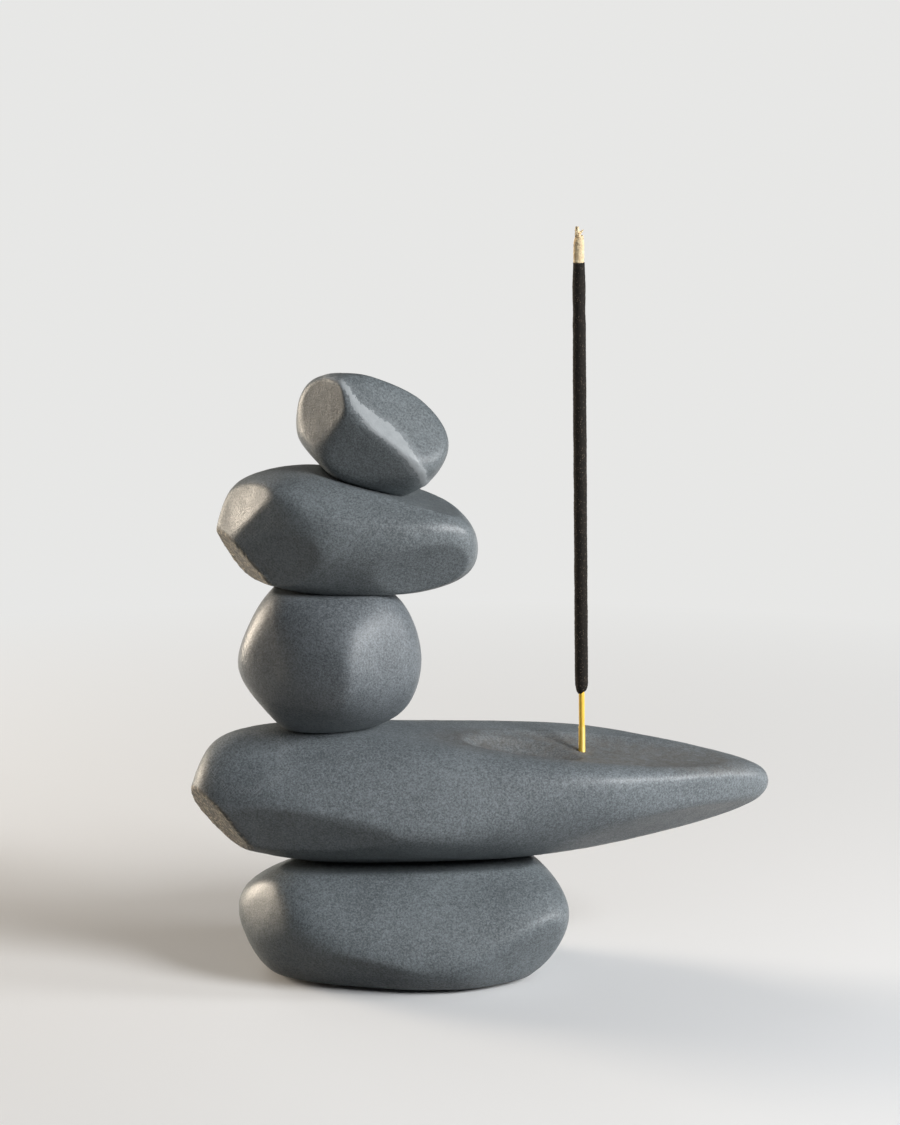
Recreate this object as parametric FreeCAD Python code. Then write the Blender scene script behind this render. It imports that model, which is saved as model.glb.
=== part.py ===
import FreeCAD, Part
import math
import os

Vector = FreeCAD.Vector

# Incense burner: five river pebbles with ground seats, stacked on hidden steel dowels.
# The long second stone has a hollow for the ash and a drilled socket for one incense stick.
# Millimetres. +Z up, +X towards the pointed end of the long stone.
# The origin is under the middle of the foot pad, on the surface the burner stands on.

# ---- foot pad
pad_radius = 18.0
pad_thickness = 1.0

# ---- stones: length along X, depth along Y, height from lower seat to upper seat
base_length = 75.5
base_depth = 60.0
base_height = 24.9

dish_length = 135.5
dish_depth = 48.0
dish_height = 31.1
dish_along = 18.0

middle_length = 42.0
middle_depth = 43.0
middle_height = 33.0
middle_along = -16.5
middle_seat_lean = 2.5

shoulder_length = 58.5
shoulder_depth = 41.0
shoulder_height = 25.0
shoulder_along = -12.5

top_length = 35.0
top_depth = 31.0
top_height = 24.0
top_along = -7.7
top_seat_lean = 16.0
top_seat_along = -10.0
top_seat_height = 23.9
top_centre_height = 11.6

# ---- how hard the flats of wear meet: a high number gives a sharp ridge
base_wear = 13
dish_wear = 15
middle_wear = 12
shoulder_wear = 16
top_wear = 16

# ---- chips broken off the left ends: the way the break faces, and how deep it bites
dish_chip_turn = -163.0
dish_chip_rise = -38.0
dish_chip_bite = 5.9
shoulder_chip_turn = -167.0
shoulder_chip_rise = -36.0
shoulder_chip_bite = 4.6

# ---- ash hollow: a shallow saucer along the tail with a deeper well at its inner end
hollow_along = 27.0
hollow_across = -4.0
hollow_length = 66.0
hollow_width = 25.0
hollow_depth = 2.2
well_along = 11.0
well_length = 31.0
well_width = 17.0
well_depth = 5.2

# ---- stick socket
socket_along = 23.7
socket_across = 1.0
socket_depth = 12.0
socket_clearance = 0.10
stick_lean = 0.7
stick_float = 0.05

# ---- incense stick
core_radius = 0.72
coat_radius = 1.55
coat_clearance = 0.02
bare_length = 14.0
coat_length = 99.1
coat_shoulder = 3.2
coat_foot_radius = 0.98
neck_from_top = 11.0
neck_length = 5.0
neck_depth = 0.12
burn_radius = 1.32
burn_taper = 4.5
ash_length = 8.2
ash_foot_radius = 1.28
ash_tip_radius = 1.18
ash_split_depth = 2.6
ash_split_aside = 0.5

# ---- dowels
dowel_radius = 2.0
dowel_length = 20.0
dowel_chamfer = 0.4
dowel_clearance = 0.1
dowel_end_gap = 0.5
base_dowel_along = 2.0
middle_dowel_along = -16.0
shoulder_dowel_along = -21.0

# ---- fineness: points round each ring of a stone, rings from bottom to top, and straight
# ---- stretches that make up one curve of the paste
points_round = 48
rings_up = 26
curve_steps = 4

# Flats of wear, as (turn, rise, reach) on a stone that is 1 from centre to side each way.
# turn is measured round +Z from +X, rise up from level, and reach is out from the centre.
# The oval is the size of the round stone that the flats were worn on, in the same measure.
base_oval = 1.40
base_flats = [
    (143, 42, 1.14), (162, 18, 1.15), (172, 0, 1.09), (178, -11, 1.05), (205, 7, 1.02),
    (3, 20, 1.10), (-3, 8, 1.08), (-6, -2, 1.08), (-15, -14, 1.09), (34, 4, 1.05),
    (-96, 30, 0.89), (-102, 12, 0.86), (-78, 1, 1.06), (-96, -9, 1.08), (-136, -10, 0.97),
    (-96, -26, 1.22), (-122, -22, 1.08), (84, 35, 0.90), (71, 13, 1.00), (54, -13, 1.05),
    (114, -8, 1.04), (136, 6, 1.04),
]

dish_oval = 1.45
dish_flats = [
    (174, 0, 1.06), (175, 5, 1.04), (172, 12, 1.19), (167, 27, 1.50), (176, 86, 1.18),
    (10, 35, 0.97), (1, 14, 1.06), (-3, 1, 1.12), (-8, -14, 1.19), (-18, -37, 1.00),
    (-32, -54, 0.98), (-90, -72, 1.04), (-168, -39, 1.11), (-6, 63, 0.71), (-121, 34, 0.97),
    (-104, 18, 1.03), (-36, -2, 0.91), (-90, 0, 1.03), (-145, 5, 1.01), (-139, -16, 0.97),
    (-112, -49, 1.02), (-64, -26, 0.98), (104, 39, 1.05), (84, 0, 1.00), (36, -2, 0.90),
    (140, 4, 1.08), (116, -26, 0.96),
]

middle_oval = 1.30
middle_flats = [
    (164, 22, 1.01), (170, 0, 1.10), (180, -32, 1.00), (-5, 18, 1.02), (-11, -3, 1.03),
    (-16, -20, 1.07), (-25, -41, 1.20), (17, 59, 1.15), (145, 56, 1.27), (-49, -66, 1.08),
    (-137, 3, 0.89), (-63, 5, 0.93), (-124, -31, 0.96), (-66, -31, 0.95), (-95, -55, 0.98),
    (80, 0, 0.93), (31, 8, 1.00), (129, 0, 0.94), (-98, 36, 1.07), (85, 36, 1.08),
]

shoulder_oval = 1.30
shoulder_flats = [
    (169, 0, 1.12), (169, 10, 1.16), (162, 28, 1.46), (147, 51, 1.50), (63, 70, 1.23),
    (0, 56, 0.87), (2, 24, 0.95), (-4, 9, 1.02), (-8, -2, 1.07), (-12, -15, 1.22),
    (-22, -36, 1.36), (-51, -62, 1.25), (-144, -64, 1.14), (-168, -43, 1.12), (-84, 36, 1.07),
    (-98, 3, 0.95), (-140, 1, 0.86), (-104, -24, 0.93), (-73, -10, 1.08), (-169, 11, 1.03),
    (76, 12, 0.95), (76, -19, 1.05), (140, 0, 0.98), (31, 0, 0.93),
]

top_oval = 1.36
top_flats = [
    (171, 0, 0.95), (165, 21, 1.10), (152, 51, 1.26), (79, 75, 1.07), (15, 56, 0.88),
    (1, 31, 0.88), (-7, 8, 1.01), (-15, -21, 1.14), (-28, -51, 1.34), (-158, -61, 1.02),
    (-179, -31, 0.88), (-67, 28, 0.89), (-115, -8, 0.89), (-150, 6, 0.89), (-101, -41, 1.17),
    (79, 8, 0.97), (79, -24, 1.02), (133, 7, 0.99), (79, 43, 0.96),
]

# ---- heights of the seats, each stone standing on the one below
base_foot = pad_thickness
dish_seat = base_foot + base_height
middle_seat = dish_seat + dish_height
shoulder_seat = middle_seat + middle_height
up = Vector(0, 0, 1)
far = base_length + dish_length + middle_length


def direction(turn, rise):
    turn = math.radians(turn)
    rise = math.radians(rise)
    return Vector(math.cos(rise) * math.cos(turn), math.cos(rise) * math.sin(turn), math.sin(rise))


def worn_points(size, oval, wear, flats, centre):
    # Rings of points, from the lower pole to the upper one. Each point of the oval is drawn in
    # towards the centre until the flats, blended by the wear, all let it be.
    faces = [(direction(turn, rise), reach) for turn, rise, reach in flats]
    rings = []
    for j in range(rings_up):
        rise = 180.0 * j / (rings_up - 1) - 90.0
        ring = []
        for i in range(points_round):
            q = direction(360.0 * i / points_round, rise) * oval
            pull = 1.0
            for normal, reach in faces:
                pull += max(0.0, q.dot(normal) / reach) ** wear
            q = q / pull ** (1.0 / wear)
            ring.append(centre + Vector(q.x * size[0] / 2, q.y * size[1] / 2, q.z * size[2] / 2))
        rings.append(ring)
    return rings


def worn_solid(rings):
    # One smooth closed surface through the rings, periodic round the stone.
    poles = [[rings[j][i] for j in range(rings_up)] for i in range(points_round)]
    spans = rings_up - 3
    surface = Part.BSplineSurface()
    surface.buildFromPolesMultsKnots(
        poles,
        [1] * (points_round + 1),
        [4] + [1] * (spans - 1) + [4],
        [float(k) for k in range(points_round + 1)],
        [float(k) for k in range(spans + 1)],
        True, False, 3, 3,
    )
    stone = Part.Solid(Part.Shell([surface.toShape()]))
    if stone.Volume < 0:
        stone.reverse()
    return stone


def half_space(point, normal):
    # The block that fills everything on the normal's side of a plane.
    block = Part.makeBox(2 * far, 2 * far, far, Vector(-far, -far, 0))
    block.Placement = FreeCAD.Placement(point, FreeCAD.Rotation(up, normal))
    return block


def chipped(stone, rings, turn, rise, bite):
    # A flat break across the side that faces this way, as deep as the bite.
    normal = direction(turn, rise)
    edge = max(point.dot(normal) for ring in rings for point in ring)
    return stone.cut(half_space(normal * (edge - bite), normal))


def dowel_bore(point, axis):
    depth = dowel_length / 2 + dowel_end_gap
    return Part.makeCylinder(dowel_radius + dowel_clearance, 2 * depth, point - axis * depth, axis)


def dowel(point, axis):
    pin = Part.makeCylinder(dowel_radius, dowel_length, point - axis * (dowel_length / 2), axis)
    ends = [edge for edge in pin.Edges if len(edge.Vertexes) == 1]
    return pin.makeChamfer(dowel_chamfer, ends)


def surface_height(stone, x, y):
    # Height of the stone's upper surface over a point.
    line = Part.makeLine(Vector(x, y, -far), Vector(x, y, far))
    return max(vertex.Z for vertex in stone.common(line).Vertexes)


def saucer(stone, along, across, length, width, depth):
    # An ellipsoid that dips into the upper surface by the depth and leaves a rim of the given
    # length and width. Its centre stands as high over the rim as the saucer is deep.
    x = dish_along + along
    inner = surface_height(stone, x - length / 4, across)
    outer = surface_height(stone, x + length / 4, across)
    slope = math.degrees(math.atan2(outer - inner, length / 2))
    grow = 1 / math.sqrt(0.75)
    matrix = FreeCAD.Matrix()
    matrix.scale(length / 2 * grow, width / 2 * grow, 2 * depth)
    cutter = Part.makeSphere(1.0).transformGeometry(matrix)
    cutter.rotate(Vector(0, 0, 0), Vector(0, 1, 0), -slope)
    cutter.translate(Vector(x, across, (inner + outer) / 2 + depth))
    return cutter


def base_seat_point():
    return Vector(base_dowel_along, 0, dish_seat)


def middle_seat_point():
    return Vector(middle_dowel_along, 0, middle_seat)


def middle_axis():
    return direction(0, 90 - middle_seat_lean)


def shoulder_seat_point():
    return Vector(shoulder_dowel_along, 0, shoulder_seat)


def shoulder_centre():
    return Vector(shoulder_along, 0, shoulder_seat + shoulder_height / 2)


def top_axis():
    return direction(0, 90 - top_seat_lean)


def top_seat_point():
    return Vector(top_seat_along, 0, shoulder_seat + top_seat_height)


def foot_pad():
    return Part.makeCylinder(pad_radius, pad_thickness)


def base_stone():
    size = (base_length, base_depth, base_height)
    centre = Vector(0, 0, base_foot + base_height / 2)
    stone = worn_solid(worn_points(size, base_oval, base_wear, base_flats, centre))
    stone = stone.cut(half_space(Vector(0, 0, base_foot), -up))
    stone = stone.cut(half_space(Vector(0, 0, dish_seat), up))
    return stone.cut(dowel_bore(base_seat_point(), up))


def dish_blank():
    size = (dish_length, dish_depth, dish_height)
    centre = Vector(dish_along, 0, dish_seat + dish_height / 2)
    rings = worn_points(size, dish_oval, dish_wear, dish_flats, centre)
    stone = worn_solid(rings)
    stone = stone.cut(half_space(Vector(0, 0, dish_seat), -up))
    stone = stone.cut(half_space(middle_seat_point(), middle_axis()))
    return chipped(stone, rings, dish_chip_turn, dish_chip_rise, dish_chip_bite)


def hollowed_dish():
    stone = dish_blank()
    bowl = saucer(stone, hollow_along, hollow_across, hollow_length, hollow_width, hollow_depth)
    well = saucer(stone, well_along, hollow_across, well_length, well_width, well_depth)
    return stone.cut(bowl).cut(well)


def dish_stone(hollowed):
    stone = hollowed.cut(dowel_bore(base_seat_point(), up))
    stone = stone.cut(dowel_bore(middle_seat_point(), middle_axis()))
    return stone.cut(stick_socket(hollowed))


def stick_axis():
    return direction(180, 90 - stick_lean)


def socket_mouth(hollowed):
    x = dish_along + socket_along
    return Vector(x, socket_across, surface_height(hollowed, x, socket_across))


def stick_socket(hollowed):
    # The drill enters a little above the hollow's floor, so that the whole mouth is open.
    start = socket_mouth(hollowed) + stick_axis() * socket_depth
    return Part.makeCylinder(core_radius + socket_clearance, 2 * socket_depth, start, -stick_axis())


def middle_stone():
    size = (middle_length, middle_depth, middle_height)
    centre = Vector(middle_along, 0, middle_seat + middle_height / 2)
    stone = worn_solid(worn_points(size, middle_oval, middle_wear, middle_flats, centre))
    stone = stone.cut(half_space(middle_seat_point(), -middle_axis()))
    stone = stone.cut(half_space(Vector(0, 0, shoulder_seat), up))
    stone = stone.cut(dowel_bore(middle_seat_point(), middle_axis()))
    return stone.cut(dowel_bore(shoulder_seat_point(), up))


def shoulder_stone():
    size = (shoulder_length, shoulder_depth, shoulder_height)
    rings = worn_points(size, shoulder_oval, shoulder_wear, shoulder_flats, shoulder_centre())
    stone = worn_solid(rings)
    stone = stone.cut(half_space(Vector(0, 0, shoulder_seat), -up))
    stone = stone.cut(half_space(top_seat_point(), top_axis()))
    stone = chipped(stone, rings, shoulder_chip_turn, shoulder_chip_rise, shoulder_chip_bite)
    stone = stone.cut(dowel_bore(shoulder_seat_point(), up))
    return stone.cut(dowel_bore(top_seat_point(), top_axis()))


def top_stone():
    size = (top_length, top_depth, top_height)
    centre = Vector(top_along, 0, top_seat_point().z + top_centre_height)
    stone = worn_solid(worn_points(size, top_oval, top_wear, top_flats, centre))
    stone = stone.cut(half_space(top_seat_point(), -top_axis()))
    return stone.cut(dowel_bore(top_seat_point(), top_axis()))


def turned(profile, foot):
    # A profile of (radius, height) points, turned about the stick's axis from its foot.
    line = Part.makePolygon([Vector(r, 0, h) for r, h in profile + profile[:1]])
    body = Part.Face(line).revolve(Vector(0, 0, 0), up, 360)
    body.Placement = FreeCAD.Placement(foot, FreeCAD.Rotation(up, stick_axis()))
    return body


def stick_foot(hollowed):
    return socket_mouth(hollowed) - stick_axis() * (socket_depth - stick_float)


def bamboo_core(foot):
    length = socket_depth - stick_float + bare_length + coat_length
    return Part.makeCylinder(core_radius, length, foot, stick_axis())


def coat_foot(foot):
    return foot + stick_axis() * (socket_depth - stick_float + bare_length)


def incense_coating(foot):
    # The paste thins to a rounded foot, is pinched once near its upper end, and tapers where it burns.
    bore = core_radius + coat_clearance
    neck = coat_length - neck_from_top
    profile = [(bore, 0), (coat_foot_radius, 0)]
    for step in range(1, curve_steps + 1):
        share = step / curve_steps
        bulge = math.sin(share * math.pi / 2)
        profile.append((coat_foot_radius + (coat_radius - coat_foot_radius) * bulge, coat_shoulder * share))
    for step in range(2 * curve_steps + 1):
        share = step / (2 * curve_steps)
        pinch = neck_depth * math.sin(share * math.pi) ** 2
        profile.append((coat_radius - pinch, neck + neck_length * (share - 0.5)))
    profile += [(coat_radius, coat_length - burn_taper), (burn_radius, coat_length), (bore, coat_length)]
    return turned(profile, coat_foot(foot))


def ash_tip(foot):
    # Burnt paste that still stands, split at the top into two horns.
    profile = [(0, 0), (ash_foot_radius, 0), (ash_tip_radius, ash_length), (0, ash_length)]
    ash = turned(profile, coat_foot(foot) + stick_axis() * coat_length)
    tip = coat_foot(foot) + stick_axis() * (coat_length + ash_length)
    wide = 2 * ash_foot_radius
    notch = Part.makePolygon([
        Vector(-wide, 0, wide), Vector(ash_split_aside, 0, -ash_split_depth), Vector(wide, 0, wide),
        Vector(-wide, 0, wide),
    ])
    wedge = Part.Face(notch).extrude(Vector(0, 2 * wide, 0))
    wedge.translate(Vector(0, -wide, 0))
    wedge.Placement = FreeCAD.Placement(tip, FreeCAD.Rotation(up, stick_axis())).multiply(wedge.Placement)
    return ash.cut(wedge)


hollowed = hollowed_dish()
foot = stick_foot(hollowed)
pieces = {
    "foot_pad": foot_pad(),
    "base_stone": base_stone(),
    "dish_stone": dish_stone(hollowed),
    "middle_stone": middle_stone(),
    "shoulder_stone": shoulder_stone(),
    "top_stone": top_stone(),
    "base_dowel": dowel(base_seat_point(), up),
    "middle_dowel": dowel(middle_seat_point(), middle_axis()),
    "shoulder_dowel": dowel(shoulder_seat_point(), up),
    "top_dowel": dowel(top_seat_point(), top_axis()),
    "bamboo_core": bamboo_core(foot),
    "incense_coating": incense_coating(foot),
    "ash_tip": ash_tip(foot),
}

os.makedirs("parts", exist_ok=True)
for name, shape in pieces.items():
    solid = shape.Solids[0]
    print(name, "solids", len(shape.Solids), "valid", shape.isValid(), "cm3", round(shape.Volume / 1000, 3))
    solid.exportStep("parts/" + name + ".step")
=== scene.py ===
import math

import bmesh
import bpy
from mathutils import Matrix, Vector, noise


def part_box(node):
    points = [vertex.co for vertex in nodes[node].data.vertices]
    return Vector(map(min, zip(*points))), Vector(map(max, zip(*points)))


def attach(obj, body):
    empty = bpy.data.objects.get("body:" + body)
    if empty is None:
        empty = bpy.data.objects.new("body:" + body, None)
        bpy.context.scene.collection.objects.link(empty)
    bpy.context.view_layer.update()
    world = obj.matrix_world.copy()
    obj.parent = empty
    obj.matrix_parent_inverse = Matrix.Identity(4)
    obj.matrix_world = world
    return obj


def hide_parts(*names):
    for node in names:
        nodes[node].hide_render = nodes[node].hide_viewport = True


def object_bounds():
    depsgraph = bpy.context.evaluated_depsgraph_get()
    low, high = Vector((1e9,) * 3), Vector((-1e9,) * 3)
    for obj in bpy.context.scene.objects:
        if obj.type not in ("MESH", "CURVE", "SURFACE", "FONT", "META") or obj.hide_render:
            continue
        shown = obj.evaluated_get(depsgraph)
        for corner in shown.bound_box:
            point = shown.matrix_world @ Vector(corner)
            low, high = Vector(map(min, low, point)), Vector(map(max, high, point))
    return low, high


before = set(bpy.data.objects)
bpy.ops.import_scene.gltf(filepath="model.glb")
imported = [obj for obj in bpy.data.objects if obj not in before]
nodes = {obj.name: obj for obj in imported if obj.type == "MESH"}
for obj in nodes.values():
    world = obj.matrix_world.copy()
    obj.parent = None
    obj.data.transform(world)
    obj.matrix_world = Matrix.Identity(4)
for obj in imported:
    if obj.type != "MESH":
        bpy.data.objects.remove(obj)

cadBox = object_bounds()
mm = 0.001
print("frame loaded")


def linkObject(name, mesh):
    obj = bpy.data.objects.new(name, mesh)
    bpy.context.scene.collection.objects.link(obj)
    return obj


def meshFrom(bm, name):
    mesh = bpy.data.meshes.new(name)
    bm.to_mesh(mesh)
    bm.free()
    return mesh


def mergedCopy(nodeName):
    # a CAD node's mesh is loose triangles, so its copy is merged
    bm = bmesh.new()
    bm.from_mesh(nodes[nodeName].data)
    bmesh.ops.remove_doubles(bm, verts=bm.verts, dist=0.001 * mm)
    return bm


def applyModifiers(obj):
    depsgraph = bpy.context.evaluated_depsgraph_get()
    mesh = bpy.data.meshes.new_from_object(obj.evaluated_get(depsgraph))
    obj.modifiers.clear()
    obj.data = mesh


def voxelRemesh(obj, size):
    remesh = obj.modifiers.new("remesh", "REMESH")
    remesh.mode = "VOXEL"
    remesh.voxel_size = size
    applyModifiers(obj)


def smoothPasses(bm, passes):
    for step in range(passes):
        bmesh.ops.smooth_vert(bm, verts=bm.verts, factor=0.5, use_axis_x=True, use_axis_y=True, use_axis_z=True)


def smoothShaded(obj):
    for face in obj.data.polygons:
        face.use_smooth = True


def writeAttribute(mesh, name, values):
    attribute = mesh.attributes.new(name, "FLOAT", "POINT")
    attribute.data.foreach_set("value", values)


def smoothStep(low, high, value):
    t = min(1.0, max(0.0, (value - low) / (high - low)))
    return t * t * (3 - 2 * t)


def facing(turn, rise):
    turn, rise = math.radians(turn), math.radians(rise)
    return Vector((math.cos(rise) * math.cos(turn), math.cos(rise) * math.sin(turn), math.sin(rise)))


def pinLine(nodeName):
    # middle and direction of a pin or stick, from its own points
    bm = mergedCopy(nodeName)
    low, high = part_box(nodeName)
    middle = (low + high) / 2
    axis = Vector()
    for vert in bm.verts:
        arm = vert.co - middle
        axis += arm if arm.z > 0 else -arm
    bm.free()
    return middle, axis.normalized()


def finished(obj, body, replaced, material):
    # the last step of every piece that stands for a CAD node
    obj.data.materials.clear()
    obj.data.materials.append(material)
    smoothShaded(obj)
    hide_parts(replaced)
    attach(obj, body)
    print(obj.name, "made,", len(obj.data.polygons), "faces")


def startMaterial(name):
    material = bpy.data.materials.new(name)
    material.use_nodes = True
    tree = material.node_tree
    return material, tree, tree.nodes["Principled BSDF"]


def setInputs(tree, node, inputs):
    # an input is a number or colour, or another node's output
    for key, value in inputs.items():
        if isinstance(value, bpy.types.NodeSocket):
            tree.links.new(value, node.inputs[key])
        else:
            node.inputs[key].default_value = value


def addNode(tree, kind, inputs=None, **settings):
    node = tree.nodes.new("ShaderNode" + kind)
    for key, value in settings.items():
        setattr(node, key, value)
    setInputs(tree, node, inputs or {})
    return node


def mathNode(tree, operation, a, b=0.0, clamp=False):
    node = addNode(tree, "Math", {0: a, 1: b}, operation=operation)
    node.use_clamp = clamp
    return node.outputs[0]


def add(tree, *values):
    total = values[0]
    for value in values[1:]:
        total = mathNode(tree, "ADD", total, value)
    return total


def times(tree, *values):
    total = values[0]
    for value in values[1:]:
        total = mathNode(tree, "MULTIPLY", total, value)
    return total


def highest(tree, values):
    top = values[0]
    for value in values[1:]:
        top = mathNode(tree, "MAXIMUM", top, value)
    return top


def mixColours(tree, share, a, b, blend="MIX"):
    node = addNode(tree, "Mix", data_type="RGBA", blend_type=blend)
    setInputs(tree, node, {0: share, 6: a, 7: b})
    return node.outputs[2]


def spread(tree, value, fromLow, fromHigh, toLow=0.0, toHigh=1.0):
    return addNode(tree, "MapRange", {0: value, 1: fromLow, 2: fromHigh, 3: toLow, 4: toHigh}).outputs[0]


def noiseNode(tree, vector, scale, detail=2.0, roughness=0.5, distortion=0.0):
    return addNode(tree, "TexNoise", {
        "Vector": vector, "Scale": scale, "Detail": detail, "Roughness": roughness, "Distortion": distortion,
    }).outputs[0]


def voronoiNode(tree, vector, scale, output="Distance"):
    return addNode(tree, "TexVoronoi", {"Vector": vector, "Scale": scale}).outputs[output]


def objectPlace(tree, shift=(0, 0, 0), scale=(1, 1, 1), turn=(0, 0, 0)):
    coordinates = addNode(tree, "TexCoord")
    return addNode(tree, "Mapping", {
        "Vector": coordinates.outputs["Object"], "Location": shift, "Scale": scale,
        "Rotation": [math.radians(angle) for angle in turn],
    }).outputs[0]


def attributeNode(tree, name):
    return addNode(tree, "Attribute", attribute_name=name).outputs["Fac"]


def alongDirection(tree, place, direction):
    return addNode(tree, "VectorMath", {0: place, 1: direction}, operation="DOT_PRODUCT").outputs["Value"]


def distanceFrom(tree, place, spot):
    point = [value * mm for value in spot]
    return addNode(tree, "VectorMath", {0: place, 1: point}, operation="DISTANCE").outputs["Value"]


def nearness(tree, place, spot, reach):
    # 1 round a spot of the piece, falling to 0 at the reach, both in millimetres
    return spread(tree, distanceFrom(tree, place, spot), reach * mm, reach * 0.45 * mm)


def bumpInto(tree, shader, height, strength, depth):
    bump = addNode(tree, "Bump", {"Strength": strength, "Distance": depth, "Height": height})
    tree.links.new(bump.outputs[0], shader.inputs["Normal"])


stoneLook = {
    "voxel": 0.45 * mm,              # size of the mesh's faces
    "smoothing": 4,                  # passes that take the steps out after the remesh
    "swell": (17 * mm, 0.10 * mm),   # size and depth of the broad unevenness
    "ripple": (5 * mm, 0.035 * mm),
    "skin": (1.7 * mm, 0.014 * mm),
    "pitSize": 3.2 * mm,
    "pitDepth": 0.10 * mm,
    "pitPatch": 9 * mm,              # size of the patches that the pits come in
    "breakSize": 1.1 * mm,           # crystals on the rough face of a chip
    "breakDepth": 0.24 * mm,
    "breakSteps": (6, 9, 1.6),       # size of its steps along x, y and z, in millimetres
    "roughBehind": (0.15 * mm, 0.7 * mm),   # behind a chip's face its roughness fades out here
    "freshBehind": (0.35 * mm, 0.9 * mm),   # and its fresh colour here
    "seatFade": (0.1 * mm, 1.2 * mm),       # nothing is displaced close to a ground seat
    "ridgePasses": 26,               # smoothing that tells how far a ridge stands out
    "ridgeReach": 0.35 * mm,
    "strokeTurn": -10,               # the rubbed strokes run square to this direction
    "strokesApart": (0.52 * mm, 0.61 * mm),
    "ringsApart": 0.75 * mm,
    "ringsFrom": (3.2 * mm, 5 * mm),        # the faint rings fade in here, away from their centre
    "ringsTo": (10 * mm, 7 * mm),           # and out here
}

# radius of each bore, and how far it goes from the pin's middle or the stick's foot
bores = {
    "pin": (2.1 * mm, 10.5 * mm),
    "stick": (0.82 * mm, 14 * mm),
    "margin": (0.06 * mm, 1 * mm),   # how much wider and longer a bore's faces are looked for
}

# Lengths in this list are in millimetres, and the way that something faces is a turn and a rise in degrees.
# flats: x, y, z of a point on the stone, the way the flat faces, how deep it bites there, how soft its edge is
# polish: x, y, z and reach of a patch that is rubbed smooth, and how strongly it is scored
# scratches: x, y, z, the way the plane that cuts it faces, reach, width
# chip: the way its broken face looks
stones = {
    "base_stone": {
        "seed": 3.1, "pins": ["base_dowel"], "pits": 0.5, "tint": (0.97, 1.0, 1.01, 1),
        "flats": [(-21, -20, 6.5, -114, -36, 0.7, 0.7), (-1, -24, 17, -97, 30, 0.25, 2.5),
                  (26, -23, 8, -66, -26, 0.3, 2.2), (-35.6, -7, 17.5, -154, 14, 0.7, 1.6)],
        "polish": [(-34, -8, 19, 10, 0.3)],
        "scratches": [(-31, -14, 9, 20, 64, 5, 0.10), (22, -27, 13, -30, 70, 6, 0.07)],
    },
    "dish_stone": {
        "seed": 11.7, "pins": ["base_dowel", "middle_dowel"], "chip": (-163, -38), "pits": 0.4,
        "tint": (1.07, 1.09, 1.10, 1),
        "flats": [(-39.2, -11.6, 41.7, -112, -28, 0.1, 0.35), (-6, -21, 44, -100, 24, 0.2, 2.5),
                  (60, -15.1, 36.6, -66, -52, 1.1, 0.8)],
        "polish": [(-36, -6, 52, 12, 1.0), (72, -11, 45, 20, 0.0)],
        "scratches": [(-28, -13, 36, -60, 78, 10, 0.09), (-10, -19, 37, -60, 82, 9, 0.07),
                      (60, -16, 45, 10, 60, 4, 0.07)],
    },
    "middle_stone": {
        "seed": 27.4, "pins": ["middle_dowel", "shoulder_dowel"], "pits": 0.35, "tint": (0.91, 0.92, 0.94, 1),
        "flats": [(-20, -20.8, 72.5, -116, -10, 0.45, 2.2), (-21.4, -17.8, 83, -114, 16, 0.4, 2.4)],
        "polish": [(-35, -5, 76, 14, 0.0)],
        "scratches": [(-17, -12, 61, 10, 62, 5, 0.09), (-8, -15, 66, -15, 66, 5, 0.08)],
        "rings": (-5, -16, 76),   # x, y, z that faint curved lines run round
    },
    "shoulder_stone": {
        "seed": 41.9, "pins": ["shoulder_dowel", "top_dowel"], "chip": (-167, -36), "pits": 0.45,
        "tint": (0.98, 1.0, 1.0, 1),
        "flats": [(2.5, -18.7, 98.5, -82, -31, 1.55, 0.35), (-29.8, -12.9, 102, -126, -14, 0.9, 0.4),
                  (-37.0, -5.0, 108.6, -153, 24, 0.45, 0.5), (-20, -14.7, 113, -92, 50, 0.25, 2.0)],
        "polish": [(-36, -6, 109, 9, 1.0), (11, -15, 104.5, 15, 0.0)],
        "scratches": [(-20, -17, 108, -80, 70, 6, 0.08)],
    },
    "top_stone": {
        "seed": 58.2, "pins": ["top_dowel"], "pits": 0.3, "tint": (0.85, 0.875, 0.875, 1),
        "flats": [(-2, -8.7, 133.7, -68, 37, 0.3, 1.2), (-13, -12.5, 121, -112, -14, 0.4, 1.0),
                  (-20.2, -6.6, 131, -146, 14, 0.5, 0.4)],
        "polish": [(-22, -5, 125, 6, 0.0)],
        "scratches": [],
    },
}

hollow = {
    "middle": 43 * mm,        # where the dust lies, along x and across y
    "halfLength": 40 * mm,
    "across": -4 * mm,
    "halfWidth": 13.5 * mm,
    "dustFade": (0.70, 1.12),   # from the middle, as a share of the half sizes
    "level": (0.1, 0.5),        # dust stays on slopes whose normal rises this much
    "deepEndShadeSpot": (22, -4, 47),   # where a painted shade darkens the dust at the hollow's deep end, in millimetres
    "deepEndShadeReach": 17,
}

# the top stone's pale band along its ridge: a quartz vein, and a painted highlight that the ridge catches
veinAndHighlight = {
    "turn": -10,              # sideways is measured this way, and the quartz and its painted highlight run straight back from it
    # sideways, up and half width in millimetres, from the stone's upper left
    "line": [(-18.6, 138.9, 0.30), (-16.2, 138.6, 0.36), (-13.9, 137.9, 0.70), (-11.9, 136.2, 0.50),
             (-10.1, 133.4, 0.90), (-8.1, 131.6, 1.20), (-6.2, 129.4, 1.60), (-3.7, 127.7, 1.70),
             (-1.2, 125.9, 1.45), (0.5, 123.8, 1.25), (2.0, 121.5, 1.10), (3.9, 118.9, 1.00),
             (5.0, 115.5, 0.90), (5.6, 112.0, 0.70)],
    "proud": 0.12 * mm,
    "proudFrom": (-0.25, 0.35),   # millimetres inside its edge
}

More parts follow.
